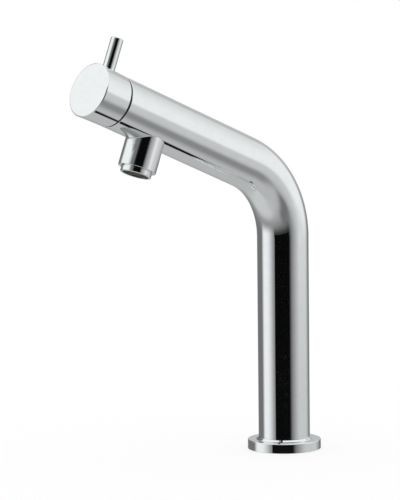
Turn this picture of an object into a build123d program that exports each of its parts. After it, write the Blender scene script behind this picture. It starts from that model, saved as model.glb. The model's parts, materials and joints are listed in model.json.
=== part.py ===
from build123d import *
from math import cos, radians, sin
import os

# A single pillar tap in chromed brass, in millimetres.
#
# The origin is the middle of the flange's underside, on the deck. +Z is up, +X is the way the arm
# points, and the tap is symmetric about the XZ plane. Water comes in at the foot, rises through the
# pillar and the bend, passes a quarter-turn ceramic headwork in the end of the arm, and leaves by the
# nozzle under the arm. What lies on the arm is placed by its distance from the seam between the arm
# and the handle, positive towards the handle's front face.

# Spout: pillar, bend, arm and nozzle, one piece
TUBE_WALL = 2.0
PILLAR_TOP = 132.5  # height at which the bend starts
BEND_R = 51.5  # radius of the bend's centre line
ARM_RISE = 21.5  # degrees above level
ARM_LENGTH = 108.7  # straight arm, from the bend to the seam
NOZZLE_SETBACK = 30.6  # nozzle's axis, behind the seam
NOZZLE_R = 11.5
NOZZLE_STANDOUT = 15.4  # nozzle's lower end, below the arm's underside
NOZZLE_WALL = 4.0
NOZZLE_LIP = 1.75  # wall left outside the aerator's thread
NOZZLE_BLEND = 0.6  # radius worked into the corner between nozzle and arm
LIP_ROUND = 0.3  # broken edges of open ends

# Foot: flange, seals and inlet
FLANGE_MARGIN = 6.8  # how far the flange stands out round the tube
FLANGE_HEIGHT = 5.9
FLANGE_ROUND = 0.5
COLLAR_HEIGHT = 1.5  # sloping collar that closes on the tube, above the flange
COLLAR_RIM = 0.3  # collar's wall at its top
COLLAR_SLOPE = 1.1  # how much thicker it is at its foot
FLANGE_LIP = 2.0  # thickness of the lip that the tube stands on
FLANGE_LIP_CLEARANCE = 1.6845  # round the supply thread, in the hole through that lip
FLANGE_CLEARANCE = 0.1  # radial, round the tube
FOOT_SEAL_HEIGHT = 1.3
FOOT_SEAL_WIDTH = 1.6
FOOT_SEAL_GROOVE = 2.0
GASKET_MARGIN = 1.6  # gasket's groove, outside the tube
GASKET_RIM = 1.4  # rim left outside that groove
GASKET_HEIGHT = 1.0
GASKET_CLEARANCE = 0.1
INLET_THREAD_R = 9.3155  # crest radius of a G1/2 socket
INLET_THREAD_LENGTH = 15.0
INLET_SHOULDER = 2.3155  # step from the thread in to the waterway
INLET_BUSH_LENGTH = 20.0
INLET_CHAMFER = 0.8

# Arm's mouth and the valve housing screwed into it
MOUTH_WALL = 2.0  # wall left outside the mouth's thread
HOUSING_WALL = 3.8  # housing's wall, from its inner thread to its outer one
LAND_STEP = 0.75  # the sealed bore is this much tighter than the thread
MOUTH_DEPTH = 56.0  # how far the machined bore goes in
MOUTH_THREAD_START = 4.0
MOUTH_THREAD_LENGTH = 10.0
GLIDE_SEAT_STEP = 0.2  # the glide ring's counterbore is wider than the thread
HOUSING_FACE = 4.5  # housing's front face, behind the seam
HOUSING_LENGTH = 49.5
SEAT_WEB = 8.0  # thickness of the housing's end wall, up to the seat
SEAT_WIDTH = 1.5  # seat's face, inside the shell's bore
WAIST_STEP = 2.0  # depth of the ring-shaped outlet chamber round the housing
CHAMBER_MARGIN = 3.7  # how far that chamber reaches past the nozzle's bore, each way
OUTLET_HOLE_R = 3.5
OUTLET_HOLES = 4
SPANNER_SLOTS = 2
SPANNER_SLOT_ANGLE = 15.0
SPANNER_SLOT_DEPTH = 2.0
ORING_HEIGHT = 2.0
ORING_WIDTH = 2.2
ORING_GROOVE = 2.8
ORING_CORNER = 0.4  # rounding of a squashed O-ring, as a share of its height

# Ceramic headwork: its radii grow outwards from the spindle, and the arm is as wide as they need
SHELL_WALL = 1.4
SHELL_CLEARANCE = 0.35  # round the shell, in the housing
SHELL_END_GAP = 0.8  # the seal stands proud of the shell by this much
HEAD_THREAD_STEP = 1.3  # thread, over the shell
HEAD_THREAD_LENGTH = 10.0
THREAD_RELIEF = 1.0
HEAD_FLANGE_STEP = 1.8  # flange, over the thread
HEAD_FLANGE_HEIGHT = 1.5
HEAD_GASKET_HEIGHT = 0.8
HEX_STEP = 0.6  # flats, over the shell
HEX_HEIGHT = 5.2
WINDOW_LENGTH = 7.8
WINDOW_ANGLE = 100.0
SEAL_HEIGHT = 2.5
SEAL_WIDTH = 1.9
DISC_HEIGHT = 3.0
DISC_GAP = 0.02  # water film between the two ceramic discs
FIXED_DISC_GAP = 0.05  # radial, in the shell
MOVING_DISC_GAP = 0.2
PORT_INNER_R = 1.8
PORT_MARGIN = 2.3  # land left outside the ports
PORT_ANGLE = 74.0
EAR_WIDTH = 3.0
EAR_STANDOUT = 1.0
RUNNING_GAP = 0.1  # axial play between what turns and what stands still

# Spindle
QUARTER_TURN = 90.0
SPINDLE_R = 4.45
SPINDLE_BORE_GAP = 0.05
SPINDLE_SEAL_HEIGHT = 1.4
SPINDLE_SEAL_WIDTH = 1.6
SPINDLE_SEAL_GROOVE = 2.0
SPINDLE_SEAL_GAP = 0.02
SPINDLE_SEAL_PITCH = 4.5
FORK_REACH = 8.5  # length of the two legs between crown and moving disc
FORK_DEPTH = 1.5  # how deep the legs sit in the disc
FORK_ANGLE = 46.0
FORK_THICKNESS = 1.7
FORK_FIT = 0.05
CROWN_HEIGHT = 2.0
CROWN_GAP = 0.3  # round the crown, in the shell
STOP_HEIGHT = 1.6
STOP_CORE_STEP = 1.15  # core between the stops, over the spindle
STOP_BLOCK_WIDTH = 1.6  # stop block's height, from the shell's bore inwards
STOP_BLOCK_ANGLE = 180.0
STOP_LUG_ANGLE = 86.0  # leaves the quarter turn and a little play
WASHER_HEIGHT = 0.6
WASHER_PLAY = 0.03
CLIP_HEIGHT = 0.9
CLIP_STANDOUT = 1.75
CLIP_GROOVE_DEPTH = 0.8
CLIP_OPENING = 5.0
SPLINE_TEETH = 20
SPLINE_STEP = 0.45  # spline's tips, inside the spindle's surface
SPLINE_DEPTH = 0.5
SPLINE_LENGTH = 9.0
SPLINE_CLEARANCE = 0.05
WAIST_DEPTH = 0.5  # waist below the spline's roots, where the grub screw's tip sits
WAIST_LENGTH = 3.2

# Handle
SEAM_GAP = 1.1  # width of the seam, filled by the glide ring
SEAM_RECESS = 0.5  # the glide ring lies this much below the surface
GLIDE_WALL = 1.2  # glide ring's wall, inside the handle's cavity
GLIDE_SPIGOT_GAP = 0.06  # radial play of the handle on the ring
GLIDE_SPIGOT_LENGTH = 2.5
GLIDE_TAIL = 2.9  # length of the ring inside the arm
HANDLE_LENGTH = 19.65  # from the middle of the seam to the front face
HANDLE_FLARE = 0.5  # how much wider than the tube the front is
HANDLE_ROUND = 0.7
HANDLE_WALL = 2.5
HANDLE_CAVITY_DEPTH = 5.0
BUSH_WALL = 1.5
BUSH_LENGTH = 9.5
BUSH_END_PLAY = 0.3
PIN_ALONG = 9.9  # pin's axis, in front of the seam
PIN_R = 3.75
PIN_STANDOUT = 19.1  # pin's top, above the tube's surface
PIN_ROUND = 0.5
PIN_SINK = 1.0  # how deep its shoulder sits
PIN_HOLE_GAP = 0.1
PIN_SHOULDER = 0.75  # step from the pin in to its thread
PIN_THREAD_LENGTH = 4.5
SCREW_LENGTH = 6.0
SCREW_TIP_R = 1.4
SCREW_TIP_LENGTH = 1.2
SCREW_HEX = 3.0
SCREW_HEX_DEPTH = 2.5

# Aerator
AERATOR_THREAD_LENGTH = 8.0
AERATOR_RING_STEP = 0.4  # ring below the nozzle, inside the thread's radius
AERATOR_RING_HEIGHT = 3.3
AERATOR_WALL = 1.05
AERATOR_LIP = 0.7
AERATOR_LIP_STEP = 0.4  # lip at the mouth, in from the bore
AERATOR_ROUND = 0.4
AERATOR_WASHER_HEIGHT = 1.4
AERATOR_WASHER_BAND = 1.3  # washer's inner edge, in from the bore
INSERT_PLATE = 1.2
INSERT_WALL = 0.8
JET_HOLES = 12
JET_HOLE_R = 0.5
JET_MARGIN = 3.1  # jets' circle, in from the bore
INSERT_SLOTS = 6
INSERT_SLOT_WIDTH = 1.6
INSERT_SLOT_HEIGHT = 4.0
SCREEN_HEIGHT = 0.5
MESH_PITCH = 1.9
MESH_HOLE = 1.25
MESH_COUNT = 7
MESH_RIM = 1.1  # solid rim left round the mesh

# Radii of the headwork, from the spindle outwards to the tube
stop_core_r = SPINDLE_R + STOP_CORE_STEP
shell_bore_r = stop_core_r + CROWN_GAP + STOP_BLOCK_WIDTH
shell_r = shell_bore_r + SHELL_WALL
head_thread_r = shell_r + HEAD_THREAD_STEP
head_flange_r = head_thread_r + HEAD_FLANGE_STEP
mouth_thread_r = head_thread_r + HOUSING_WALL
tube_r = mouth_thread_r + MOUTH_WALL

# Radii inside the headwork
crown_r = shell_bore_r - CROWN_GAP
fork_inner_r = crown_r - FORK_THICKNESS
port_outer_r = shell_bore_r - PORT_MARGIN
seat_bore_r = shell_bore_r - SEAT_WIDTH
seal_bore_r = shell_bore_r - SEAL_WIDTH
spindle_bore_r = SPINDLE_R + SPINDLE_BORE_GAP
seal_floor_r = spindle_bore_r - SPINDLE_SEAL_GAP - SPINDLE_SEAL_HEIGHT
clip_floor_r = SPINDLE_R - CLIP_GROOVE_DEPTH
clip_r = SPINDLE_R + CLIP_STANDOUT
spline_tip_r = SPINDLE_R - SPLINE_STEP
spline_root_r = spline_tip_r - SPLINE_DEPTH
waist_r = spline_root_r - WAIST_DEPTH

# Radii that the tube's and the nozzle's set
land_r = mouth_thread_r - LAND_STEP
glide_seat_r = mouth_thread_r + GLIDE_SEAT_STEP
tube_bore_r = tube_r - TUBE_WALL
flange_bore_r = tube_r + FLANGE_CLEARANCE
flange_r = tube_r + FLANGE_MARGIN
flange_lip_r = INLET_THREAD_R + FLANGE_LIP_CLEARANCE
gasket_inner_r = tube_r + GASKET_MARGIN
gasket_outer_r = flange_r - GASKET_RIM
inlet_bore_r = INLET_THREAD_R - INLET_SHOULDER
handle_front_r = tube_r + HANDLE_FLARE
handle_cavity_r = tube_r - HANDLE_WALL
glide_bore_r = handle_cavity_r - GLIDE_WALL
bush_r = spline_tip_r + BUSH_WALL
pin_thread_r = PIN_R - PIN_SHOULDER
nozzle_bore_r = NOZZLE_R - NOZZLE_WALL
aerator_thread_r = NOZZLE_R - NOZZLE_LIP
aerator_ring_r = aerator_thread_r - AERATOR_RING_STEP
aerator_bore_r = aerator_ring_r - AERATOR_WALL
aerator_mouth_r = aerator_bore_r - AERATOR_LIP_STEP
aerator_washer_bore_r = aerator_bore_r - AERATOR_WASHER_BAND
jet_circle_r = aerator_bore_r - JET_MARGIN

# Directions and places worked out from the sizes above
bend_angle = 90 - ARM_RISE
arm_dir = Vector(cos(radians(ARM_RISE)), 0, sin(radians(ARM_RISE)))
arm_up = Vector(-sin(radians(ARM_RISE)), 0, cos(radians(ARM_RISE)))
bend_end = Vector(
    BEND_R * (1 - cos(radians(bend_angle))), 0, PILLAR_TOP + BEND_R * sin(radians(bend_angle))
)
seam = bend_end + arm_dir * ARM_LENGTH
nozzle_root = seam - arm_dir * NOZZLE_SETBACK
pin_root = seam + arm_dir * PIN_ALONG

# Sections are drawn as (radius, distance): up from the deck, along the arm, down the nozzle, up the pin
foot_section = Plane.XZ
arm_section = Plane(origin=seam, x_dir=arm_up, z_dir=(0, 1, 0))
nozzle_section = Plane(origin=nozzle_root, x_dir=arm_dir, z_dir=(0, 1, 0))
pin_section = Plane(origin=pin_root, x_dir=arm_dir * -1, z_dir=(0, 1, 0))
arm_axis = Axis(seam, arm_dir)
nozzle_axis = Axis(nozzle_root, arm_up * -1)
pin_axis = Axis(pin_root, arm_up)

# Places in the foot
foot_seal_middle = (FLANGE_LIP + FLANGE_HEIGHT) / 2
collar_top = FLANGE_HEIGHT + COLLAR_HEIGHT
inlet_seat = FLANGE_LIP + INLET_THREAD_LENGTH
inlet_bush_top = FLANGE_LIP + INLET_BUSH_LENGTH

# Places in the arm's mouth
arm_end = -SEAM_GAP / 2
cap_back = SEAM_GAP / 2
mouth_thread_back = -MOUTH_THREAD_START - MOUTH_THREAD_LENGTH
housing_front = -HOUSING_FACE
housing_back = housing_front - HOUSING_LENGTH
seat = housing_back + SEAT_WEB
chamber_half = nozzle_bore_r + CHAMBER_MARGIN
chamber_front = -NOZZLE_SETBACK + chamber_half
chamber_back = -NOZZLE_SETBACK - chamber_half
housing_seals = ((chamber_front + mouth_thread_back) / 2, (housing_back + chamber_back) / 2)

# Stack inside the headwork, from the seat outwards
shell_back = seat + SHELL_END_GAP
seal_front = seat + SEAL_HEIGHT
fixed_front = seal_front + DISC_HEIGHT
moving_back = fixed_front + DISC_GAP
moving_front = moving_back + DISC_HEIGHT
crown_back = moving_front + FORK_REACH
crown_front = crown_back + CROWN_HEIGHT
stop_front = crown_front + STOP_HEIGHT
washer_front = stop_front + WASHER_HEIGHT
shoulder = washer_front + WASHER_PLAY
head_flange_back = housing_front + HEAD_GASKET_HEIGHT
head_flange_front = head_flange_back + HEAD_FLANGE_HEIGHT
hex_front = head_flange_front + HEX_HEIGHT
head_thread_front = housing_front - THREAD_RELIEF
head_thread_back = head_thread_front - HEAD_THREAD_LENGTH
neck_middle = (shoulder + hex_front) / 2
spindle_seals = (neck_middle - SPINDLE_SEAL_PITCH / 2, neck_middle + SPINDLE_SEAL_PITCH / 2)
clip_back = hex_front + RUNNING_GAP
clip_front = clip_back + CLIP_HEIGHT
spline_front = clip_front + SPLINE_LENGTH

# The ports lie crosswise in the closed tap. The fork's legs stand beside the moving ports, and the
# stop block leaves room for the lug, the quarter turn and the same play at each end.
UP_AND_DOWN = (0, 180)
SIDEWAYS = (90, 270)
stop_room = 360 - STOP_BLOCK_ANGLE
stop_play = (stop_room - STOP_LUG_ANGLE - QUARTER_TURN) / 2
stop_block_middle = stop_room - STOP_LUG_ANGLE / 2 - stop_play + STOP_BLOCK_ANGLE / 2

# Places in the handle and under the nozzle
cavity_front = cap_back + HANDLE_CAVITY_DEPTH
bush_front = cavity_front + BUSH_LENGTH
pin_top = tube_r + PIN_STANDOUT
pin_seat = tube_r - PIN_SINK
pin_foot = pin_seat - PIN_THREAD_LENGTH
screw_top = waist_r + SCREW_LENGTH
nozzle_drop = tube_r + NOZZLE_STANDOUT
nozzle_thread_top = nozzle_drop - AERATOR_THREAD_LENGTH
aerator_top = nozzle_thread_top + AERATOR_WASHER_HEIGHT
aerator_foot = nozzle_drop + AERATOR_RING_HEIGHT
screen_foot = aerator_foot - AERATOR_LIP
screen_top = screen_foot - SCREEN_HEIGHT


def across_arm(along):
    """The plane square to the arm's axis, facing the front, with its x towards the arm's top."""
    return Plane(origin=seam + arm_dir * along, x_dir=arm_up, z_dir=arm_dir)


def across_nozzle(depth):
    """The plane square to the nozzle's axis, facing down it, with its x towards the handle."""
    return Plane(origin=nozzle_root - arm_up * depth, x_dir=arm_dir, z_dir=arm_up * -1)


def spout_line(end):
    """The centre line from the tube's foot, round the bend and along the arm to its end."""
    rise = Line((0, FLANGE_LIP), (0, PILLAR_TOP))
    bend = JernArc(rise @ 1, rise % 1, BEND_R, -bend_angle)
    Line(bend @ 1, end)


def step(inner, outer, low, high, mode=Mode.ADD):
    """One rectangular step of a turned section, from radius to radius and from end to end."""
    with Locations(((inner + outer) / 2, (low + high) / 2)):
        Rectangle(outer - inner, high - low, mode=mode)


def groove(floor, outer, middle, width):
    """A seal's groove, cut from a turned section."""
    step(floor, outer, middle - width / 2, middle + width / 2, mode=Mode.SUBTRACT)


def oring(floor, height, width, middle):
    """The section of an O-ring that stands squashed on its groove's floor."""
    with Locations((floor + height / 2, middle)):
        RectangleRounded(height, width, height * ORING_CORNER)


def sector(inner, outer, angle, middle, mode=Mode.ADD):
    """A ring sector in the active sketch, its middle at the given angle in degrees."""
    start = middle - angle / 2
    with BuildLine() as outline:
        far = CenterArc((0, 0), outer, start, angle)
        near = CenterArc((0, 0), inner, start, angle)
        Line(near @ 0, far @ 0)
        Line(near @ 1, far @ 1)
    make_face(outline.edges(), mode=mode)


def spline_teeth(growth):
    """A splined outline, its corners on the root and tip circles in turn."""
    corners = []
    for corner in range(2 * SPLINE_TEETH):
        radius = growth + (spline_tip_r if corner % 2 else spline_root_r)
        turn = radians(corner * 180 / SPLINE_TEETH)
        corners.append((radius * cos(turn), radius * sin(turn)))
    with BuildLine() as outline:
        Polyline(*corners, close=True)
    make_face(outline.edges())


# Spout: the outside is swept, the nozzle joins it square to the arm, and the inside is cut after
with BuildPart() as pillar_spout:
    with BuildLine(foot_section):
        spout_line(seam + arm_dir * arm_end)
    with BuildSketch(Plane.XY.offset(FLANGE_LIP)):
        Circle(tube_r)
    sweep()
    with BuildSketch(nozzle_section):
        step(0, NOZZLE_R, 0, nozzle_drop)
    revolve(axis=nozzle_axis)
    nozzle_end = nozzle_root - arm_up * nozzle_drop
    near_nozzle = pillar_spout.edges().filter_by(lambda edge: edge.distance_to(nozzle_end) < NOZZLE_R * 3)
    curved = near_nozzle.filter_by(GeomType.LINE, reverse=True)
    junction = curved.filter_by(GeomType.CIRCLE, reverse=True)
    fillet(junction, NOZZLE_BLEND)
    open_ends = [pillar_spout.faces().sort_by_distance(end)[0] for end in (nozzle_end, seam)]
    fillet([edge for face in open_ends for edge in face.edges()], LIP_ROUND)
    with BuildLine(foot_section):
        spout_line(seam - arm_dir * MOUTH_DEPTH)
    with BuildSketch(Plane.XY.offset(FLANGE_LIP)):
        Circle(tube_bore_r)
    sweep(mode=Mode.SUBTRACT)
    with BuildSketch(arm_section):
        step(0, land_r, -MOUTH_DEPTH, mouth_thread_back)
        step(0, mouth_thread_r, mouth_thread_back, -MOUTH_THREAD_START)
        step(0, glide_seat_r, -MOUTH_THREAD_START, 0)
    revolve(axis=arm_axis, mode=Mode.SUBTRACT)
    with BuildSketch(nozzle_section):
        step(0, nozzle_bore_r, 0, nozzle_thread_top)
        step(0, aerator_thread_r, nozzle_thread_top, nozzle_drop)
    revolve(axis=nozzle_axis, mode=Mode.SUBTRACT)
pillar_spout.part.label = "pillar_spout"

# Foot: cover flange with the lip that the tube stands on, its two seals, and the inlet bush
with BuildPart() as base_flange:
    with BuildSketch(foot_section):
        step(flange_lip_r, flange_r, 0, FLANGE_HEIGHT)
        step(flange_lip_r, flange_bore_r, FLANGE_LIP, FLANGE_HEIGHT, mode=Mode.SUBTRACT)
        with BuildLine():
            Polyline(
                (flange_bore_r, FLANGE_HEIGHT),
                (flange_bore_r + COLLAR_RIM + COLLAR_SLOPE, FLANGE_HEIGHT),
                (flange_bore_r + COLLAR_RIM, collar_top),
                (flange_bore_r, collar_top),
                close=True,
            )
        make_face()
        step(gasket_inner_r, gasket_outer_r, 0, GASKET_HEIGHT, mode=Mode.SUBTRACT)
        groove(tube_r, tube_r + FOOT_SEAL_HEIGHT, foot_seal_middle, FOOT_SEAL_GROOVE)
    revolve(axis=Axis.Z)
    widest = base_flange.edges().filter_by(GeomType.CIRCLE).sort_by(SortBy.LENGTH)[-2:]
    fillet(widest.sort_by(Axis.Z)[-1], FLANGE_ROUND)
base_flange.part.label = "base_flange"

with BuildPart() as flange_oring:
    with BuildSketch(foot_section):
        oring(tube_r, FOOT_SEAL_HEIGHT, FOOT_SEAL_WIDTH, foot_seal_middle)
    revolve(axis=Axis.Z)
flange_oring.part.label = "flange_oring"

with BuildPart() as deck_gasket:
    with BuildSketch(foot_section):
        step(gasket_inner_r + GASKET_CLEARANCE, gasket_outer_r - GASKET_CLEARANCE, 0, GASKET_HEIGHT)
    revolve(axis=Axis.Z)
deck_gasket.part.label = "deck_gasket"

with BuildPart() as inlet_bush:
    with BuildSketch(foot_section):
        step(INLET_THREAD_R, tube_bore_r, FLANGE_LIP, inlet_seat)
        step(inlet_bore_r, tube_bore_r, inlet_seat, inlet_bush_top)
    revolve(axis=Axis.Z)
    chamfer(inlet_bush.edges().group_by(Axis.Z)[-1].sort_by(SortBy.LENGTH)[0], INLET_CHAMFER)
inlet_bush.part.label = "inlet_bush"

# Valve housing: brass insert with the seat, a waist for the outlet water and two sealed lands
with BuildPart() as valve_housing:
    with BuildSketch(arm_section):
        step(seat_bore_r, land_r, housing_back, mouth_thread_back)
        step(seat_bore_r, mouth_thread_r, mouth_thread_back, housing_front)
        step(seat_bore_r, shell_r + SHELL_CLEARANCE, seat, housing_front, mode=Mode.SUBTRACT)
        thread_cut_back = head_thread_back - THREAD_RELIEF
        step(seat_bore_r, head_thread_r, thread_cut_back, housing_front, mode=Mode.SUBTRACT)
        step(land_r - WAIST_STEP, land_r, chamber_back, chamber_front, mode=Mode.SUBTRACT)
        for middle in housing_seals:
            groove(land_r - ORING_HEIGHT, land_r, middle, ORING_GROOVE)
    revolve(axis=arm_axis)
    for hole in range(OUTLET_HOLES):
        outward = (arm_up * -1).rotate(Axis((0, 0, 0), arm_dir), hole * 360 / OUTLET_HOLES)
        with BuildSketch(Plane(origin=nozzle_root, z_dir=outward)):
            Circle(OUTLET_HOLE_R)
        extrude(amount=land_r, mode=Mode.SUBTRACT)
    with BuildSketch(across_arm(housing_front)):
        for slot in range(SPANNER_SLOTS):
            sector(head_flange_r, tube_r, SPANNER_SLOT_ANGLE, slot * 360 / SPANNER_SLOTS)
    extrude(amount=-SPANNER_SLOT_DEPTH, mode=Mode.SUBTRACT)
valve_housing.part.label = "valve_housing"

with BuildPart() as housing_orings:
    with BuildSketch(arm_section):
        for middle in housing_seals:
            oring(land_r - ORING_HEIGHT, ORING_HEIGHT, ORING_WIDTH, middle)
    revolve(axis=arm_axis)
housing_orings.part.label = "housing_orings"

# Headwork: a windowed shell for the discs, a thread, a flange and a hexagon, with a stop block inside
with BuildPart() as headwork_body:
    with BuildSketch(arm_section):
        step(0, shell_r, shell_back, head_flange_back)
        step(0, head_thread_r, head_thread_back, head_thread_front)
        step(0, head_flange_r, head_flange_back, head_flange_front)
    revolve(axis=arm_axis)
    with BuildSketch(across_arm(head_flange_front)):
        RegularPolygon(shell_r + HEX_STEP, 6, major_radius=False)
    extrude(amount=HEX_HEIGHT)
    with BuildSketch(arm_section):
        step(0, shell_bore_r, shell_back, shoulder)
        step(0, spindle_bore_r, shoulder, hex_front)
    revolve(axis=arm_axis, mode=Mode.SUBTRACT)
    with BuildSketch(across_arm(crown_front + RUNNING_GAP)):
        sector(stop_core_r + CROWN_GAP, shell_r, STOP_BLOCK_ANGLE, stop_block_middle)
    extrude(amount=STOP_HEIGHT + WASHER_HEIGHT)
    with BuildSketch(across_arm(moving_front)):
        for middle in SIDEWAYS:
            sector(stop_core_r, head_thread_r, WINDOW_ANGLE, middle)
    extrude(amount=WINDOW_LENGTH, mode=Mode.SUBTRACT)
    with BuildSketch(across_arm(shell_back)):
        Rectangle(2 * (shell_bore_r + EAR_STANDOUT), EAR_WIDTH)
    extrude(amount=fixed_front - shell_back, mode=Mode.SUBTRACT)
headwork_body.part.label = "headwork_body"

with BuildPart() as headwork_gasket:
    with BuildSketch(arm_section):
        step(head_thread_r, head_flange_r, housing_front, head_flange_back)
    revolve(axis=arm_axis)
headwork_gasket.part.label = "headwork_gasket"

with BuildPart() as seat_seal:
    with BuildSketch(arm_section):
        step(seal_bore_r, shell_bore_r - FIXED_DISC_GAP, seat, seal_front)
    revolve(axis=arm_axis)
seat_seal.part.label = "seat_seal"

# Ceramic discs: two sector ports each, the fixed one held by ears, the moving one driven by the fork
with BuildPart() as fixed_disc:
    with BuildSketch(across_arm(seal_front)):
        Circle(shell_bore_r - FIXED_DISC_GAP)
        Rectangle(2 * (shell_bore_r + EAR_STANDOUT - FIXED_DISC_GAP), EAR_WIDTH - 2 * FIXED_DISC_GAP)
        for middle in SIDEWAYS:
            sector(PORT_INNER_R, port_outer_r, PORT_ANGLE, middle, mode=Mode.SUBTRACT)
    extrude(amount=DISC_HEIGHT)
fixed_disc.part.label = "fixed_disc"

with BuildPart() as moving_disc:
    with BuildSketch(across_arm(moving_back)):
        Circle(shell_bore_r - MOVING_DISC_GAP)
        for middle in UP_AND_DOWN:
            sector(PORT_INNER_R, port_outer_r, PORT_ANGLE, middle, mode=Mode.SUBTRACT)
    extrude(amount=DISC_HEIGHT)
    with BuildSketch(across_arm(moving_front)):
        for middle in SIDEWAYS:
            sector(fork_inner_r - FORK_FIT, shell_r, FORK_ANGLE, middle)
    extrude(amount=-FORK_DEPTH, mode=Mode.SUBTRACT)
moving_disc.part.label = "moving_disc"

# Spindle: fork, crown and stop lug inside the shell, sealed stem, clip groove and splined end
with BuildPart() as spindle:
    with BuildSketch(arm_section):
        step(0, crown_r, crown_back, crown_front)
        step(0, stop_core_r, crown_front, stop_front)
        step(0, SPINDLE_R, stop_front, clip_front)
        for middle in spindle_seals:
            groove(seal_floor_r, SPINDLE_R, middle, SPINDLE_SEAL_GROOVE)
        step(clip_floor_r, SPINDLE_R, clip_back, clip_front, mode=Mode.SUBTRACT)
    revolve(axis=arm_axis)
    with BuildSketch(across_arm(moving_front - FORK_DEPTH)):
        for middle in SIDEWAYS:
            sector(fork_inner_r, crown_r, FORK_ANGLE, middle)
    extrude(amount=FORK_DEPTH + FORK_REACH)
    with BuildSketch(across_arm(crown_front)):
        sector(SPINDLE_R, crown_r, STOP_LUG_ANGLE, 0)
    extrude(amount=STOP_HEIGHT)
    with BuildSketch(across_arm(clip_front)):
        spline_teeth(0)
    extrude(amount=SPLINE_LENGTH)
    with BuildSketch(arm_section):
        step(waist_r, SPINDLE_R, PIN_ALONG - WAIST_LENGTH / 2, PIN_ALONG + WAIST_LENGTH / 2)
    revolve(axis=arm_axis, mode=Mode.SUBTRACT)
spindle.part.label = "spindle"

with BuildPart() as spindle_washer:
    with BuildSketch(arm_section):
        step(SPINDLE_R, stop_core_r, stop_front, washer_front)
    revolve(axis=arm_axis)
spindle_washer.part.label = "spindle_washer"

with BuildPart() as spindle_orings:
    with BuildSketch(arm_section):
        for middle in spindle_seals:
            oring(seal_floor_r, SPINDLE_SEAL_HEIGHT, SPINDLE_SEAL_WIDTH, middle)
    revolve(axis=arm_axis)
spindle_orings.part.label = "spindle_orings"

with BuildPart() as spindle_clip:
    with BuildSketch(across_arm(clip_back)):
        Circle(clip_r)
        Circle(clip_floor_r, mode=Mode.SUBTRACT)
        with Locations((-clip_r, 0)):
            Rectangle(2 * clip_r, CLIP_OPENING, mode=Mode.SUBTRACT)
    extrude(amount=CLIP_HEIGHT)
spindle_clip.part.label = "spindle_clip"

# Seam ring: it sits in the arm's mouth and guides the handle on its spigot
with BuildPart() as glide_ring:
    with BuildSketch(arm_section):
        ring_front = cap_back - RUNNING_GAP
        step(glide_bore_r, glide_seat_r, arm_end - GLIDE_TAIL, arm_end)
        step(glide_bore_r, tube_r - SEAM_RECESS, arm_end, ring_front)
        step(glide_bore_r, handle_cavity_r - GLIDE_SPIGOT_GAP, ring_front, ring_front + GLIDE_SPIGOT_LENGTH)
    revolve(axis=arm_axis)
glide_ring.part.label = "glide_ring"

# Handle: a solid turned cap that widens a little to its front, bored for bush, screw and pin
with BuildPart() as handle_cap:
    with BuildSketch(arm_section):
        with BuildLine():
            side = Line((tube_r, cap_back), (handle_front_r, HANDLE_LENGTH))
            Polyline(side @ 1, (0, HANDLE_LENGTH), (0, cap_back), side @ 0)
        make_face()
    revolve(axis=arm_axis)
    rims = handle_cap.edges().filter_by(GeomType.CIRCLE).sort_by(arm_axis)
    fillet(rims[-1], HANDLE_ROUND)
    fillet(rims[0], LIP_ROUND)
    with BuildSketch(arm_section):
        step(0, handle_cavity_r, cap_back, cavity_front)
        step(0, bush_r, cavity_front, bush_front)
    revolve(axis=arm_axis, mode=Mode.SUBTRACT)
    with BuildSketch(pin_section):
        step(0, pin_thread_r, 0, pin_seat)
        step(0, PIN_R + PIN_HOLE_GAP, pin_seat, pin_top)
    revolve(axis=pin_axis, mode=Mode.SUBTRACT)
handle_cap.part.label = "handle_cap"

with BuildPart() as handle_bush:
    with BuildSketch(arm_section):
        step(0, bush_r, cavity_front, bush_front)
    revolve(axis=arm_axis)
    with BuildSketch(across_arm(cavity_front)):
        spline_teeth(SPLINE_CLEARANCE)
    extrude(amount=spline_front + BUSH_END_PLAY - cavity_front, mode=Mode.SUBTRACT)
    with BuildSketch(pin_section):
        step(0, pin_thread_r, 0, bush_r)
    revolve(axis=pin_axis, mode=Mode.SUBTRACT)
handle_bush.part.label = "handle_bush"

with BuildPart() as handle_screw:
    with BuildSketch(pin_section):
        step(0, SCREW_TIP_R, waist_r, waist_r + SCREW_TIP_LENGTH)
        step(0, pin_thread_r, waist_r + SCREW_TIP_LENGTH, screw_top)
    revolve(axis=pin_axis)
    with BuildSketch(Plane(origin=pin_root + arm_up * screw_top, z_dir=arm_up)):
        RegularPolygon(SCREW_HEX / 2, 6, major_radius=False)
    extrude(amount=-SCREW_HEX_DEPTH, mode=Mode.SUBTRACT)
handle_screw.part.label = "handle_screw"

with BuildPart() as handle_pin:
    with BuildSketch(pin_section):
        step(0, pin_thread_r, pin_foot, pin_seat)
        step(0, PIN_R, pin_seat, pin_top)
    revolve(axis=pin_axis)
    fillet(handle_pin.edges().filter_by(GeomType.CIRCLE).sort_by(pin_axis)[-1], PIN_ROUND)
handle_pin.part.label = "handle_pin"

# Aerator: a threaded housing that shows below the nozzle, with washer, jet insert and screen
with BuildPart() as aerator_washer:
    with BuildSketch(nozzle_section):
        step(aerator_washer_bore_r, aerator_thread_r, nozzle_thread_top, aerator_top)
    revolve(axis=nozzle_axis)
aerator_washer.part.label = "aerator_washer"

with BuildPart() as aerator_housing:
    with BuildSketch(nozzle_section):
        step(aerator_mouth_r, aerator_thread_r, aerator_top, nozzle_drop)
        step(aerator_mouth_r, aerator_ring_r, nozzle_drop, aerator_foot)
        step(aerator_mouth_r, aerator_bore_r, aerator_top, screen_foot, mode=Mode.SUBTRACT)
    revolve(axis=nozzle_axis)
    foot_edges = aerator_housing.edges().filter_by(GeomType.CIRCLE).group_by(nozzle_axis)[-1]
    fillet(foot_edges.sort_by(SortBy.LENGTH)[-1], AERATOR_ROUND)
aerator_housing.part.label = "aerator_housing"

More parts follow.
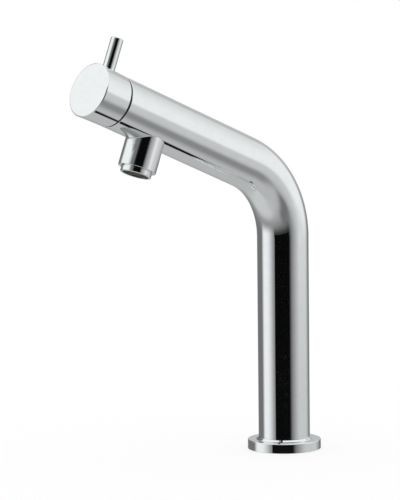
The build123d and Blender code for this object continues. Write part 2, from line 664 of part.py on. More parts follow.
with BuildPart() as aerator_insert:
    with BuildSketch(nozzle_section):
        step(0, aerator_bore_r, aerator_top, screen_top)
        step(0, aerator_bore_r - INSERT_WALL, aerator_top + INSERT_PLATE, screen_top, mode=Mode.SUBTRACT)
    revolve(axis=nozzle_axis)
    with BuildSketch(across_nozzle(aerator_top)):
        with PolarLocations(jet_circle_r, JET_HOLES):
            Circle(JET_HOLE_R)
    extrude(amount=INSERT_PLATE, mode=Mode.SUBTRACT)
    with BuildSketch(across_nozzle(screen_top)):
        with PolarLocations(aerator_bore_r, INSERT_SLOTS):
            Rectangle(2 * INSERT_WALL + INSERT_SLOT_WIDTH, INSERT_SLOT_WIDTH)
    extrude(amount=-INSERT_SLOT_HEIGHT, mode=Mode.SUBTRACT)
aerator_insert.part.label = "aerator_insert"

with BuildPart() as aerator_screen:
    with BuildSketch(across_nozzle(screen_top)):
        Circle(aerator_bore_r)
        with GridLocations(MESH_PITCH, MESH_PITCH, MESH_COUNT, MESH_COUNT) as mesh:
            mesh_r = aerator_bore_r - MESH_RIM
            inside = [spot for spot in mesh.local_locations if spot.position.length < mesh_r]
        with Locations(inside):
            Rectangle(MESH_HOLE, MESH_HOLE, mode=Mode.SUBTRACT)
    extrude(amount=SCREEN_HEIGHT)
aerator_screen.part.label = "aerator_screen"

# One STEP file for each piece
os.makedirs("parts", exist_ok=True)
pieces = (
    pillar_spout, base_flange, flange_oring, deck_gasket, inlet_bush, valve_housing, housing_orings,
    headwork_body, headwork_gasket, seat_seal, fixed_disc, moving_disc, spindle, spindle_washer,
    spindle_orings, spindle_clip, glide_ring, handle_cap, handle_bush, handle_screw, handle_pin,
    aerator_washer, aerator_housing, aerator_insert, aerator_screen,
)
for piece in pieces:
    export_step(piece.part, f"parts/{piece.part.label}.step")
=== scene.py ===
"""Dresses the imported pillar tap: smooth chrome shells, a real inlet thread, a woven screen and finishes."""

import json
import logging
import math
from collections.abc import Callable, Sequence
from dataclasses import dataclass, field
from enum import Enum
from typing import ClassVar

import bpy
from mathutils import Matrix, Vector


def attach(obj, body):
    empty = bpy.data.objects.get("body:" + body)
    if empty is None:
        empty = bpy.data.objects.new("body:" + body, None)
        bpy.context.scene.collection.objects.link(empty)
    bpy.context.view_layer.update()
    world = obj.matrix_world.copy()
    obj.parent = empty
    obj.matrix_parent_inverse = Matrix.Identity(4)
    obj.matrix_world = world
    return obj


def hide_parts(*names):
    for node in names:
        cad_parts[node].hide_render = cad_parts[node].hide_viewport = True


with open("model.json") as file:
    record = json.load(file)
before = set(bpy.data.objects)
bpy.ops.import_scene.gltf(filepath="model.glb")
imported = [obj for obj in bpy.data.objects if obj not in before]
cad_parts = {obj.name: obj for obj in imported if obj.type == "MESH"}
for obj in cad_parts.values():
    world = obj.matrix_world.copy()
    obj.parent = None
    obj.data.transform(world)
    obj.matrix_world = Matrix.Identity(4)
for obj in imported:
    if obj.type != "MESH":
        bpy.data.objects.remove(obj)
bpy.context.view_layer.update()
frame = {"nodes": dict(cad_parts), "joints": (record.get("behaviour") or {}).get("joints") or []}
log = logging.getLogger("pillar_tap")

MM = 0.001
NO_LENGTH = 1e-7
Corner = tuple[Vector, Vector]
Row = list[Corner]
Colour = tuple[float, float, float]
Socket = bpy.types.NodeSocket
Sockets = bpy.types.bpy_prop_collection
Pattern = tuple[Socket, Socket]


class Body(Enum):
    """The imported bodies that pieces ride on."""

    SPOUT = "spout"
    HANDLE = "handle"


class Side(Enum):
    """Which side of a surface of revolution is open to the air."""

    OUTSIDE = 1
    INSIDE = -1


# Lines and sizes that several pieces share


@dataclass(frozen=True)
class TapLine:
    """The tap's centre line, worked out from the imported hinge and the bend's radius, and shared sizes."""

    bend_r: float = 51.5 * MM
    foot: float = 2.0 * MM
    bore_r: float = 14.0 * MM
    nozzle_at: float = -30.6 * MM
    nozzle_end: float = 31.4 * MM
    thread_r: float = 9.75 * MM
    seam: Vector = field(default_factory=lambda: Vector(frame["joints"][0]["pos_m"]))
    arm_dir: Vector = field(default_factory=lambda: Vector(frame["joints"][0]["axis"]).normalized())
    side: Vector = field(default_factory=lambda: Vector((0, 1, 0)))

    @property
    def arm_up(self) -> Vector:
        """The direction square to the arm in the plane of symmetry, upwards."""
        return Vector((-self.arm_dir.z, 0, self.arm_dir.x))

    @property
    def bend_angle(self) -> float:
        """How far the tube turns from the pillar to the arm, in radians."""
        return math.pi / 2 - math.asin(self.arm_dir.z)

    @property
    def pillar_top(self) -> float:
        """The height at which the bend starts."""
        corner = self.seam - self.arm_dir * (self.seam.x / self.arm_dir.x)
        return corner.z - self.bend_r * math.tan(self.bend_angle / 2)

    @property
    def arm_start(self) -> float:
        """Where the straight arm starts, as a distance from the seam (negative)."""
        bend_end = self.bend_r * (1 - math.cos(self.bend_angle))
        return -(self.seam.x - bend_end) / self.arm_dir.x

    def bend_ring(self, share: float) -> tuple[Vector, Vector]:
        """The centre of the tube's section in the bend, and the direction to the bend's inside.

        Args:
            share: Where the section lies, from 0 at the pillar to 1 at the arm.

        Returns:
            The section's centre, and the direction towards the bend's inside.
        """
        turn = self.bend_angle * share
        inwards = Vector((math.cos(turn), 0, -math.sin(turn)))
        centre = Vector((self.bend_r, 0, self.pillar_top)) - inwards * self.bend_r
        return centre, inwards


# Meshes of exact surfaces


class SkinMesh:
    """Joins patches of exact surfaces into one closed mesh that keeps their true normals."""

    DIGITS = 8

    def __init__(self) -> None:
        """Starts an empty mesh."""
        self.vertices: list[Vector] = []
        self.faces: list[list[int]] = []
        self.normals: list[Vector] = []
        self._index: dict[tuple[float, ...], int] = {}

    def _vertex(self, point: Vector) -> int:
        """The number of the vertex at a point, which is made if it isn't there yet."""
        key = tuple(round(value, self.DIGITS) + 0.0 for value in point)
        if key not in self._index:
            self._index[key] = len(self.vertices)
            self.vertices.append(point)
        return self._index[key]

    def face(self, corners: Sequence[Corner]) -> None:
        """Adds one face that looks the way its corners' normals do.

        Args:
            corners: The points and normals round the face. Points that coincide count once.
        """
        kept: dict[int, Vector] = {}
        for point, normal in corners:
            kept.setdefault(self._vertex(point), normal)
        if len(kept) < 3:
            return
        order = list(kept)
        first, second, third = (self.vertices[order[i]] for i in (0, 1, 2))
        last = self.vertices[order[-1]]
        looks = (second - first).cross(third - first)
        if len(order) == 4:
            looks = (third - first).cross(last - second)
        if looks.dot(sum(kept.values(), Vector())) < 0:
            order.reverse()
        self.faces.append(order)
        self.normals.extend(kept[number] for number in order)

    def loft(self, rows: Sequence[Row], closed: bool = True) -> None:
        """Joins each row of corners to the next with quads.

        Args:
            rows: Rows of the same length.
            closed: Whether a row's last corner also joins its first.
        """
        for lower, upper in zip(rows, rows[1:]):
            count = len(lower)
            for here in range(count if closed else count - 1):
                there = (here + 1) % count
                self.face([lower[here], lower[there], upper[there], upper[here]])

    def build(self, name: str) -> bpy.types.Object:
        """Makes the object, with the exact normals on its faces' corners.

        Args:
            name: The piece's name.

        Returns:
            The new object, linked to the scene.
        """
        mesh = bpy.data.meshes.new(name)
        mesh.from_pydata(self.vertices, [], self.faces)
        mesh.polygons.foreach_set("use_smooth", [True] * len(self.faces))
        mesh.normals_split_custom_set([normal.normalized() for normal in self.normals])
        piece = bpy.data.objects.new(name, mesh)
        bpy.context.scene.collection.objects.link(piece)
        return piece


@dataclass(frozen=True)
class TurnedFrame:
    """An axis that sections are turned about.

    A section's points are (radius, distance along the axis). Seen with the radius to the right and
    the distance upwards, the open air is on the right of the way that a section is walked.
    """

    origin: Vector
    along: Vector
    out: Vector
    columns: int = 192

    def spoke(self, angle: float) -> Vector:
        """The unit direction away from the axis at an angle from the out direction."""
        return self.out * math.cos(angle) + self.along.cross(self.out) * math.sin(angle)

    def corner(self, radius: float, distance: float, angle: float, normal: tuple[float, float]) -> Corner:
        """A point of the turned surface with its normal, given as (radial, along)."""
        spoke = self.spoke(angle)
        point = self.origin + self.along * distance + spoke * radius
        return point, spoke * normal[0] + self.along * normal[1]

    def ring(self, radius: float, distance: float, normal: tuple[float, float]) -> Row:
        """A full ring of corners."""
        step = 2 * math.pi / self.columns
        return [self.corner(radius, distance, column * step, normal) for column in range(self.columns)]

    def turn(
        self, skin: SkinMesh, section: Sequence[Sequence[float]], closed: bool = True, arc_steps: int = 6
    ) -> None:
        """Turns a section into the mesh.

        Args:
            skin: The mesh that takes the faces.
            section: Points (radius, distance) or (radius, distance, rounding radius).
            closed: Whether the section's last point joins its first.
            arc_steps: Faces over each rounding.
        """
        points = [Vector(point[:2]) for point in section]
        roundings = [point[2] if len(point) > 2 else 0.0 for point in section]
        count = len(points)
        starts, ends = list(points), list(points)
        for here in range(count):
            if not roundings[here]:
                continue
            before = (points[here] - points[here - 1]).normalized()
            after = (points[(here + 1) % count] - points[here]).normalized()
            way = 1 if before.cross(after) > 0 else -1
            reach = roundings[here] * math.tan(before.angle(after) / 2)
            starts[here] = points[here] - before * reach
            ends[here] = points[here] + after * reach
            centre = starts[here] + Vector((-before.y, before.x)) * (way * roundings[here])
            opening, closing = starts[here] - centre, ends[here] - centre
            rows = []
            for step in range(arc_steps + 1):
                arm = opening.slerp(closing, step / arc_steps).normalized()
                corner = centre + arm * roundings[here]
                rows.append(self.ring(corner.x, corner.y, (arm.x * way, arm.y * way)))
            skin.loft(rows)
        for here in range(count if closed else count - 1):
            there = (here + 1) % count
            low, high = ends[here], starts[there]
            if (high - low).length < NO_LENGTH:
                continue
            run = (high - low).normalized()
            skin.loft([self.ring(point.x, point.y, (run.y, -run.x)) for point in (low, high)])


def upright(height: float = 0.0, columns: int = 192) -> TurnedFrame:
    """The pillar's axis, from a height upwards."""
    return TurnedFrame(Vector((0, 0, height)), Vector((0, 0, 1)), Vector((1, 0, 0)), columns)


@dataclass(frozen=True)
class PiercedTube:
    """A straight or slightly flared tube wall with one round hole towards the frame's out direction."""

    axis: TurnedFrame
    start: tuple[float, float]
    end: tuple[float, float]
    hole_at: float
    hole_r: float
    side: Side = Side.OUTSIDE
    margin: float = 1.4
    row_length: float = 1.0 * MM
    rings: int = 8
    crowding: float = 1.5
    widest_sine: float = 0.97
    blend: float = 0.0

    def radius(self, distance: float) -> float:
        """The wall's radius at a distance along the axis."""
        share = (distance - self.start[1]) / (self.end[1] - self.start[1])
        return self.start[0] + (self.end[0] - self.start[0]) * share

    def on_wall(self, angle: float, distance: float) -> Corner:
        """The wall's corner at an angle from the hole and a distance along the axis."""
        slope = (self.end[0] - self.start[0]) / (self.end[1] - self.start[1])
        length = math.hypot(1, slope)
        normal = (self.side.value / length, -self.side.value * slope / length)
        return self.axis.corner(self.radius(distance), distance, angle, normal)

    def rim_place(self, angle: float) -> tuple[float, float]:
        """Where the hole's rim or its blend meets the wall.

        Args:
            angle: The angle round the hole's axis, from the frame's axis.

        Returns:
            The angle about the frame's axis and the distance along it.
        """
        reach = self.hole_r + self.blend
        distance = self.hole_at + reach * math.cos(angle)
        wall = self.radius(distance)
        sideways = reach * math.sin(angle) * wall / (wall + self.blend)
        return math.asin(sideways / wall), distance

    def depth(self, angle: float) -> float:
        """How far from the frame's axis the hole's wall or its blend's centre starts, at an angle."""
        reach = self.hole_r + self.blend
        wall = self.radius(self.hole_at + reach * math.cos(angle)) + self.blend
        return math.sqrt(wall**2 - (reach * math.sin(angle)) ** 2)

    def weave(self, skin: SkinMesh) -> list[float]:
        """Adds the wall with its hole to the mesh.

        Args:
            skin: The mesh that takes the faces.

        Returns:
            The angles round the hole at which its rim has points.
        """
        step = 2 * math.pi / self.axis.columns
        reach = self.hole_r + self.blend
        sine = min(self.widest_sine, reach * self.margin / self.radius(self.hole_at))
        wide = math.ceil(math.asin(sine) / step)
        long = math.ceil(reach * self.margin / self.row_length)
        rows = [self.hole_at + self.row_length * row for row in range(-long, long + 1)]
        columns = [column * step for column in range(-wide, wide + 1)]
        around = [column * step for column in range(wide, self.axis.columns - wide + 1)]
        skin.loft([[self.on_wall(angle, distance) for angle in around] for distance in rows], closed=False)
        for low, high in ((self.start[1], rows[0]), (rows[-1], self.end[1])):
            if high - low > NO_LENGTH:
                every = [column * step for column in range(self.axis.columns)]
                skin.loft([[self.on_wall(angle, distance) for angle in every] for distance in (low, high)])
        border = [(angle, rows[0]) for angle in columns]
        border += [(columns[-1], distance) for distance in rows[1:]]
        border += [(angle, rows[-1]) for angle in reversed(columns[:-1])]
        border += [(columns[0], distance) for distance in reversed(rows[1:-1])]
        wall = self.radius(self.hole_at)
        turns = [math.atan2(wall * math.sin(angle), distance - self.hole_at) for angle, distance in border]
        rims = [self.rim_place(turn) for turn in turns]
        for ring in range(self.rings):
            inner, outer = ring / self.rings, (ring + 1) / self.rings
            skin.loft([self._between(border, rims, share) for share in (inner, outer)])
        return turns

    def _between(
        self, border: Sequence[tuple[float, float]], rims: Sequence[tuple[float, float]], share: float
    ) -> Row:
        """A closed row of wall corners between the hole's rim, at 0, and the patch's border, at 1."""
        share **= self.crowding
        row = []
        for (far_angle, far_distance), (near_angle, near_distance) in zip(border, rims):
            angle = near_angle + (far_angle - near_angle) * share
            row.append(self.on_wall(angle, near_distance + (far_distance - near_distance) * share))
        return row


@dataclass(frozen=True)
class Branch:
    """The round wall of a hole or of a pipe that stands square on a pierced tube."""

    tube: PiercedTube
    turns: list[float]

    @property
    def root(self) -> Vector:
        """The branch's root on the tube's axis."""
        return self.tube.axis.origin + self.tube.axis.along * self.tube.hole_at

    @property
    def spokes(self) -> list[Vector]:
        """The directions away from the branch's axis, one for each of its angles."""
        along = self.tube.axis.along
        across = along.cross(self.tube.axis.out)
        return [along * math.cos(turn) + across * math.sin(turn) for turn in self.turns]

    def row(self, radius: float, depths: Sequence[float], side: Side) -> Row:
        """A ring of the branch's wall, with one depth for each of its angles."""
        root, out = self.root, self.tube.axis.out
        places = zip(self.spokes, depths)
        return [(root + spoke * radius + out * depth, spoke * side.value) for spoke, depth in places]

    def flat_row(self, radius: float, depth: float) -> Row:
        """A ring on a flat face that looks the way that the branch points."""
        root, out = self.root, self.tube.axis.out
        return [(root + spoke * radius + out * depth, out) for spoke in self.spokes]

    def wall(
        self, skin: SkinMesh, radius: float, end: float, side: Side, start: float | None = None
    ) -> None:
        """Adds the branch's round wall to the mesh.

        Args:
            skin: The mesh that takes the faces.
            radius: The wall's radius.
            end: The depth at which the wall ends.
            side: The side of the wall that is open to the air.
            start: The depth at which it starts, or None for the tube's own wall.
        """
        starts = [self.tube.depth(turn) if start is None else start for turn in self.turns]
        skin.loft([self.row(radius, depths, side) for depths in (starts, [end] * len(starts))])

    def step(self, skin: SkinMesh, radius: float, inner: "Branch", inner_r: float, depth: float) -> None:
        """Adds the flat ring between this wall and a narrower one that has its own angles.

        Args:
            skin: The mesh that takes the faces.
            radius: This wall's radius.
            inner: The branch of the narrower wall.
            inner_r: The narrower wall's radius.
            depth: Where the ring lies along the branches' axis.
        """
        one, two = self._fan(radius, depth), inner._fan(inner_r, depth)
        here, there = 0, 0
        last_one, last_two = len(one) - 1, len(two) - 1
        while here < last_one or there < last_two:
            corners = [one[here][1], two[there][1]]
            if there == last_two or (here < last_one and one[here + 1][0] <= two[there + 1][0]):
                here += 1
                corners.append(one[here][1])
            else:
                there += 1
                corners.append(two[there][1])
            skin.face(corners)

    def _fan(self, radius: float, depth: float) -> list[tuple[float, Corner]]:
        """A flat ring's angles and corners in the order of the angles, with the first again last."""
        angles = [turn % (2 * math.pi) for turn in self.turns]
        pairs = sorted(zip(angles, self.flat_row(radius, depth)), key=lambda pair: pair[0])
        return [*pairs, (pairs[0][0] + 2 * math.pi, pairs[0][1])]

    def blend_rows(self, steps: int) -> list[Row]:
        """Rows of the small hollow rounding between the tube and the branch.

        Args:
            steps: Faces across the rounding.

        Returns:
            Rows from the tube's wall to the branch's wall.
        """
        axis = self.tube.axis
        reach = self.tube.hole_r + self.tube.blend
        rows: list[Row] = [[] for _ in range(steps + 1)]
        for turn, spoke in zip(self.turns, self.spokes):
            centre = self.root + spoke * reach + axis.out * self.tube.depth(turn)
            from_axis = centre - axis.origin
            to_wall = -(from_axis - axis.along * from_axis.dot(axis.along)).normalized()
            for step in range(steps + 1):
                towards = to_wall.slerp(-spoke, step / steps)
                rows[step].append((centre + towards * self.tube.blend, -towards))
        return rows


# Finishes


class Nodes:
    """A short way to place shader nodes in one tree."""

    def __init__(self, tree: bpy.types.NodeTree) -> None:
        """Takes the tree that the nodes go in."""
        self.tree = tree

    @classmethod
    def within(cls, owner: bpy.types.ID) -> "Nodes":
        """Empties the tree of a material or a world, for nodes of its own."""
        owner.use_nodes = True
        owner.node_tree.nodes.clear()
        return cls(owner.node_tree)

    def add(self, kind: str, **settings: object) -> bpy.types.Node:
        """Places a node.

        Args:
            kind: The node's type name.
            **settings: Properties of the node, or inputs by name with spaces as underscores.

        Returns:
            The new node.
        """
        node = self.tree.nodes.new(kind)
        for name, value in settings.items():
            if hasattr(node, name):
                setattr(node, name, value)
            else:
                self.feed(node.inputs[name.replace("_", " ")], value)
        return node

    def feed(self, socket: Socket, value: object) -> None:
        """Links an output socket to an input, or sets the input's plain value."""
        if isinstance(value, Socket):
            self.tree.links.new(value, socket)
        else:
            socket.default_value = value

    def math(self, operation: str, first: object, second: object = 0.0) -> Socket:
        """Places a math node and returns its output."""
        node = self.add("ShaderNodeMath", operation=operation)
        self.feed(node.inputs[0], first)
        self.feed(node.inputs[1], second)
        return node.outputs[0]

    def spread(
        self, value: object, low: float, high: float, to_low: float = 0.0, to_high: float = 1.0
    ) -> Socket:
        """Maps a value smoothly from one range to another and returns the output."""
        node = self.add("ShaderNodeMapRange", interpolation_type="SMOOTHSTEP")
        for socket, given in zip(node.inputs, (value, low, high, to_low, to_high)):
            self.feed(socket, given)
        return node.outputs[0]

    def mix(self, share: object, first: object, second: object) -> Socket:
        """Mixes two colours and returns the output."""
        node = self.add("ShaderNodeMix", data_type="RGBA")
        for number, value in ((0, share), (6, first), (7, second)):
            self.feed(node.inputs[number], value)
        return node.outputs[2]

    def noise(self, place: Socket, scale: object, detail: float, roughness: float = 0.5) -> Socket:
        """Places a noise texture and returns its output."""
        node = self.add("ShaderNodeTexNoise", Vector=place, Scale=scale, Detail=detail, Roughness=roughness)
        return node.outputs["Fac"]

    def join(self, kind: str, first: Socket, second: Socket, **settings: object) -> Socket:
        """Adds or mixes two shaders and returns the output."""
        node = self.add(kind, **settings)
        self.feed(node.inputs[-2], first)
        self.feed(node.inputs[-1], second)
        return node.outputs[0]


Effect = Callable[[Nodes, Socket, Sockets], Pattern]


class EffectGroup:
    """A node group that several finishes place, built once. It gives a height and a mask."""

    def __init__(self, name: str, inputs: dict[str, float], make: Effect) -> None:
        """Builds the group.

        Args:
            name: The group's name.
            inputs: The names of its number inputs, with their usual values.
            make: Gives the height and the mask, from the Nodes, the place on the object and the
                group's inputs.
        """
        self.tree = bpy.data.node_groups.new(name, "ShaderNodeTree")
        for label, usual in inputs.items():
            socket = self.tree.interface.new_socket(label, in_out="INPUT", socket_type="NodeSocketFloat")
            socket.default_value = usual
        for label in ("Height", "Mask"):
            self.tree.interface.new_socket(label, in_out="OUTPUT", socket_type="NodeSocketFloat")
        nodes = Nodes(self.tree)
        place = nodes.add("ShaderNodeTexCoord").outputs["Object"]
        height, mask = make(nodes, place, nodes.add("NodeGroupInput").outputs)
        nodes.add("NodeGroupOutput", Height=height, Mask=mask)

    def place(self, nodes: Nodes, values: dict[str, float]) -> Pattern:
        """Places the group in a material with its own values, and returns its height and mask."""
        node = nodes.add("ShaderNodeGroup", node_tree=self.tree)
        for label, value in values.items():
            nodes.feed(node.inputs[label], value)
        return node.outputs["Height"], node.outputs["Mask"]


def polish_effect(nodes: Nodes, place: Socket, given: Sockets) -> Pattern:
    """Faint waves and haze of a buffed surface."""
    waves = nodes.noise(place, given["Wave scale"], 1.0, 0.4)
    haze = nodes.noise(place, given["Haze scale"], 5.0, 0.6)
    return waves, nodes.spread(haze, 0.35, 0.75)


def turned_effect(nodes: Nodes, place: Socket, given: Sockets) -> Pattern:
    """Fine rings that a lathe tool leaves, broken up by a little noise, and stains."""
    upwards = nodes.add("ShaderNodeSeparateXYZ", Vector=place).outputs["Z"]
    rings = nodes.math("MULTIPLY", upwards, given["Rings per metre"])
    wobble = nodes.math("MULTIPLY", nodes.noise(place, 900.0, 3.0), 1.6)
    wave = nodes.math("SINE", nodes.math("ADD", rings, wobble))
    return nodes.spread(wave, -1.0, 1.0), nodes.spread(nodes.noise(place, 160.0, 4.0), 0.4, 0.7)


def grain_effect(nodes: Nodes, place: Socket, given: Sockets) -> Pattern:
    """Moulded or pressed grain, with paler and darker spots."""
    cells = nodes.add("ShaderNodeTexVoronoi", Vector=place, Scale=given["Grain scale"])
    soft = nodes.noise(place, given["Grain scale"], 4.0)
    height = nodes.math("MULTIPLY", cells.outputs["Distance"], soft)
    return height, nodes.spread(nodes.noise(place, 90.0, 3.0), 0.35, 0.7)


EFFECTS: dict[str, tuple[dict[str, float], Effect]] = {
    "polish": ({"Wave scale": 45.0, "Haze scale": 220.0}, polish_effect),
    "turned": ({"Rings per metre": 16000.0}, turned_effect),
    "grain": ({"Grain scale": 2600.0}, grain_effect),
}


@dataclass(frozen=True)
class Finish:
    """A surface with a fine effect that varies its height, its two close colours and its roughness."""

    effect: str
    colour: Colour
    second: Colour
    roughness: float
    roughness_rise: float
    relief: float
    metallic: float = 0.0
    specular: float = 0.5
    settings: dict[str, float] = field(default_factory=dict)

    def material(self, name: str, effects: dict[str, EffectGroup]) -> bpy.types.Material:
        """Makes the Blender material.

        Args:
            name: The material's name.
            effects: The shared shader groups by name.

        Returns:
            The material, with its node tree built.
        """
        made = bpy.data.materials.new(name)
        made.diffuse_color = (*self.colour, 1.0)
        nodes = Nodes.within(made)
        height, mask = effects[self.effect].place(nodes, self.settings)
        bump = nodes.add("ShaderNodeBump", Height=height, Strength=1.0, Distance=self.relief)
        shader = nodes.add(
            "ShaderNodeBsdfPrincipled",
            Base_Color=nodes.mix(mask, (*self.colour, 1.0), (*self.second, 1.0)),
            Roughness=nodes.spread(mask, 0.0, 1.0, self.roughness, self.roughness + self.roughness_rise),
            Metallic=self.metallic,
            Specular_IOR_Level=self.specular,
            Normal=bump.outputs[0],
        )
        nodes.add("ShaderNodeOutputMaterial", Surface=shader.outputs[0])
        return made


FINISHES: dict[str, Finish] = {
    "chrome": Finish(
        "polish", (0.80, 0.81, 0.82), (0.77, 0.78, 0.79),
        roughness=0.025, roughness_rise=0.02, relief=0.002 * MM, metallic=1.0,
    ),
    "brass": Finish(
        "turned", (0.71, 0.52, 0.24), (0.60, 0.41, 0.18),
        roughness=0.24, roughness_rise=0.12, relief=0.01 * MM, metallic=1.0,
    ),
    "steel": Finish(
        "turned", (0.58, 0.58, 0.57), (0.50, 0.50, 0.49),
        roughness=0.28, roughness_rise=0.1, relief=0.008 * MM, metallic=1.0,
    ),
    # The screen's two dark brown colours are painted shade: they darken the steel mesh so that the nozzle's
    # mouth looks shaded inside.
    "steel_mesh": Finish(
        "polish", (0.17, 0.155, 0.14), (0.11, 0.095, 0.08),
        roughness=0.3, roughness_rise=0.15, relief=0.004 * MM, metallic=1.0,
    ),
    "ceramic": Finish(
        "grain", (0.93, 0.92, 0.89), (0.89, 0.87, 0.83),
        roughness=0.3, roughness_rise=0.08, relief=0.002 * MM, settings={"Grain scale": 5200.0},
    ),
    "rubber": Finish(
        "grain", (0.028, 0.028, 0.03), (0.045, 0.044, 0.043),
        roughness=0.62, roughness_rise=0.15, relief=0.02 * MM, specular=0.35,
        settings={"Grain scale": 3000.0},
    ),
    "fibre": Finish(
        "grain", (0.42, 0.10, 0.07), (0.33, 0.07, 0.05),
        roughness=0.8, roughness_rise=0.1, relief=0.04 * MM, specular=0.2,
        settings={"Grain scale": 1500.0},
    ),
    "black_plastic": Finish(
        "grain", (0.012, 0.012, 0.012), (0.02, 0.02, 0.02),
        roughness=0.55, roughness_rise=0.12, relief=0.01 * MM, specular=0.15,
        settings={"Grain scale": 3600.0},
    ),
    "white_plastic": Finish(
        "grain", (0.86, 0.86, 0.84), (0.8, 0.79, 0.76),
        roughness=0.38, roughness_rise=0.12, relief=0.01 * MM, settings={"Grain scale": 3600.0},
    ),
}


class Workshop:
    """Makes each finish once, and puts finishes and bodies on pieces."""

    def __init__(self) -> None:
        """Builds the shared groups."""
        self.effects = {name: EffectGroup(name, *parts) for name, parts in EFFECTS.items()}
        self._made: dict[str, bpy.types.Material] = {}

    def finish(self, name: str) -> bpy.types.Material:
        """The material of a named finish."""
        if name not in self._made:
            self._made[name] = FINISHES[name].material(name, self.effects)
        return self._made[name]

    def fit(self, piece: bpy.types.Object, body: Body, finish: str, *nodes: str) -> None:
        """Dresses a new piece and lets it stand for CAD nodes.

        Args:
            piece: The new piece, in place.
            body: The body that it rides on.
            finish: The name of its finish, which is also the record's slot.
            *nodes: The CAD nodes that it stands for.
        """
        piece.data.materials.append(self.finish(finish))
        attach(piece, body.value)
        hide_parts(*nodes)
        log.info("%s stands for %s", piece.name, ", ".join(nodes))

    def dress(self, node: str, finish: str) -> None:
        """Gives a carried-over CAD node its finish."""
        piece = frame["nodes"][node]
        piece.data.materials.clear()
        piece.data.materials.append(self.finish(finish))
        log.info("%s keeps its CAD shape", node)


# Pieces


@dataclass(frozen=True)
class Spout:
    """Pillar, bend, arm and nozzle as one polished shell, with its machined inside."""

    line: TapLine
    tube_r: float = 16.0 * MM
    land_r: float = 13.25 * MM
    mouth_r: float = 14.2 * MM
    mouth_thread_r: float = 14.0 * MM
    mouth_end: float = -0.55 * MM
    mouth_step: float = -4.0 * MM
    thread_end: float = -14.0 * MM
    mouth_depth: float = -56.0 * MM
    lip_round: float = 0.3 * MM
    nozzle_r: float = 11.5 * MM
    nozzle_blend: float = 0.6 * MM
    nozzle_bore_r: float = 7.5 * MM
    thread_top: float = 23.4 * MM
    bend_rows: int = 72
    blend_steps: int = 6
    lip_steps: int = 5

    @property
    def arm(self) -> TurnedFrame:
        """The arm's axis, with the nozzle's side as its out direction."""
        return TurnedFrame(self.line.seam, self.line.arm_dir, -self.line.arm_up)

    def _swept(self, skin: SkinMesh, radius: float, side: Side) -> None:
        """Adds the pillar's and the bend's wall of one radius."""
        rings = [(Vector((0, 0, self.line.foot)), Vector((1, 0, 0)))]
        rings += [self.line.bend_ring(row / self.bend_rows) for row in range(self.bend_rows + 1)]
        rows = []
        for centre, inwards in rings:
            along = inwards.cross(self.line.side)
            section = TurnedFrame(centre, -along, inwards)
            rows.append(section.ring(radius, 0, (side.value, 0)))
        skin.loft(rows)

    def _nozzle(self, skin: SkinMesh, branch: Branch) -> None:
        """Adds the nozzle's outside, its mouth and the aerator's threaded bore."""
        end = self.line.nozzle_end
        outer_end = end - self.lip_round
        skin.loft(branch.blend_rows(self.blend_steps))
        branch.wall(skin, self.nozzle_r, outer_end, Side.OUTSIDE)
        lip = []
        for step in range(self.lip_steps + 1):
            turn = math.pi / 2 * step / self.lip_steps
            radius = self.nozzle_r - self.lip_round * (1 - math.cos(turn))
            depth = outer_end + self.lip_round * math.sin(turn)
            row = branch.row(radius, [depth] * len(branch.turns), Side.OUTSIDE)
            down = branch.tube.axis.out * math.sin(turn)
            lip.append([(point, normal * math.cos(turn) + down) for point, normal in row])
        skin.loft(lip)
        rims = (self.nozzle_r - self.lip_round, self.line.thread_r)
        skin.loft([branch.flat_row(radius, end) for radius in rims])
        branch.wall(skin, self.line.thread_r, self.thread_top, Side.INSIDE, start=end)

    def build(self, workshop: Workshop) -> None:
        """Builds the shell and lets it stand for the CAD piece."""
        skin = SkinMesh()
        line = self.line
        outer = PiercedTube(
            self.arm, (self.tube_r, line.arm_start), (self.tube_r, self.mouth_end - self.lip_round),
            line.nozzle_at, self.nozzle_r, Side.OUTSIDE, blend=self.nozzle_blend,
        )
        inner = PiercedTube(
            self.arm, (self.land_r, self.mouth_depth), (self.land_r, self.thread_end),
            line.nozzle_at, self.nozzle_bore_r, Side.INSIDE,
        )
        self._swept(skin, self.tube_r, Side.OUTSIDE)
        self._swept(skin, line.bore_r, Side.INSIDE)
        nozzle = Branch(outer, outer.weave(skin))
        self._nozzle(skin, nozzle)
        bore = Branch(inner, inner.weave(skin))
        bore.wall(skin, self.nozzle_bore_r, self.thread_top, Side.INSIDE)
        nozzle.step(skin, line.thread_r, bore, self.nozzle_bore_r, self.thread_top)
        # The first point lies just behind the lip's rounding and gives it its direction.
        self.arm.turn(skin, (
            (self.tube_r, self.mouth_end - self.lip_round * 1.01),
            (self.tube_r, self.mouth_end, self.lip_round),
            (self.mouth_r, self.mouth_end, self.lip_round), (self.mouth_r, self.mouth_step),
            (self.mouth_thread_r, self.mouth_step), (self.mouth_thread_r, self.thread_end),
            (self.land_r, self.thread_end),
        ), closed=False)
        self.arm.turn(skin, (
            (self.land_r, self.mouth_depth), (line.bore_r, self.mouth_depth), (line.bore_r, line.arm_start),
        ), closed=False)
        foot = upright(line.foot)
        skin.loft([foot.ring(radius, 0, (0, -1)) for radius in (line.bore_r, self.tube_r)])
        workshop.fit(skin.build("spout_shell"), Body.SPOUT, "chrome", "pillar_spout")


